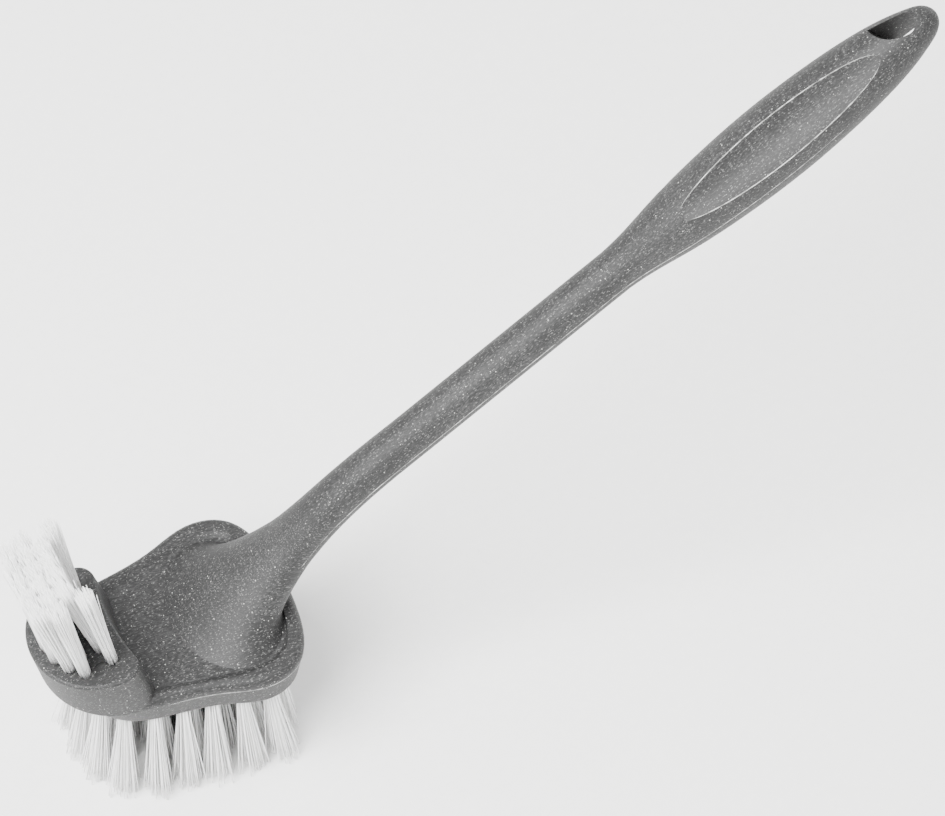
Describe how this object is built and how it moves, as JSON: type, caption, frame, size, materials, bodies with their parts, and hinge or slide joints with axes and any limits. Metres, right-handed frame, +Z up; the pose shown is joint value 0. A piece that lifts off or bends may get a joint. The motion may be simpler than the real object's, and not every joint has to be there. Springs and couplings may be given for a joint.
{
  "type": "dish brush",
  "caption": "Long-handled washing-up brush: composite handle and head moulded in one, flared sole tufts, and a pad of forward-leaning tufts on the nose.",
  "frame": {"origin": "centre of the trimmed face of the sole tufts, in the mid plane of the brush", "axes": "+Z up, out of the back of the head; +X from the nose towards the handle; +Y to the right when the nose points away"},
  "size_m": [0.2559, 0.0519, 0.1889],
  "materials": {
    "composite": "satin, with fine pale fibre flecks",
    "sole_filament": "satin filaments with flagged ends",
    "nose_filament": "satin filaments, trimmed level",
    "wire": "bright drawn flat wire"
  },
  "bodies": {
    "root": {"handle_body": "composite", "nose_anchors": "wire", "nose_tuft_01": "nose_filament", "nose_tuft_02": "nose_filament", "nose_tuft_03": "nose_filament", "nose_tuft_04": "nose_filament", "nose_tuft_05": "nose_filament", "nose_tuft_06": "nose_filament", "nose_tuft_07": "nose_filament", "nose_tuft_08": "nose_filament", "nose_tuft_09": "nose_filament", "nose_tuft_10": "nose_filament", "nose_tuft_11": "nose_filament", "nose_tuft_12": "nose_filament", "nose_tuft_13": "nose_filament", "nose_tuft_14": "nose_filament", "nose_tuft_15": "nose_filament", "nose_tuft_16": "nose_filament", "nose_tuft_17": "nose_filament", "sole_anchors": "wire", "sole_tuft_01": "sole_filament", "sole_tuft_02": "sole_filament", "sole_tuft_03": "sole_filament", "sole_tuft_04": "sole_filament", "sole_tuft_05": "sole_filament", "sole_tuft_06": "sole_filament", "sole_tuft_07": "sole_filament", "sole_tuft_08": "sole_filament", "sole_tuft_09": "sole_filament", "sole_tuft_10": "sole_filament", "sole_tuft_11": "sole_filament", "sole_tuft_12": "sole_filament", "sole_tuft_13": "sole_filament", "sole_tuft_14": "sole_filament", "sole_tuft_15": "sole_filament", "sole_tuft_16": "sole_filament", "sole_tuft_17": "sole_filament", "sole_tuft_18": "sole_filament", "sole_tuft_19": "sole_filament", "sole_tuft_20": "sole_filament", "sole_tuft_21": "sole_filament", "sole_tuft_22": "sole_filament", "sole_tuft_23": "sole_filament", "sole_tuft_24": "sole_filament", "sole_tuft_25": "sole_filament", "sole_tuft_26": "sole_filament", "sole_tuft_27": "sole_filament", "sole_tuft_28": "sole_filament", "sole_tuft_29": "sole_filament", "sole_tuft_30": "sole_filament", "sole_tuft_31": "sole_filament", "sole_tuft_32": "sole_filament", "sole_tuft_33": "sole_filament", "sole_tuft_34": "sole_filament", "sole_tuft_35": "sole_filament", "sole_tuft_36": "sole_filament", "sole_tuft_37": "sole_filament", "sole_tuft_38": "sole_filament", "sole_tuft_39": "sole_filament"}
  },
  "joints": []
}
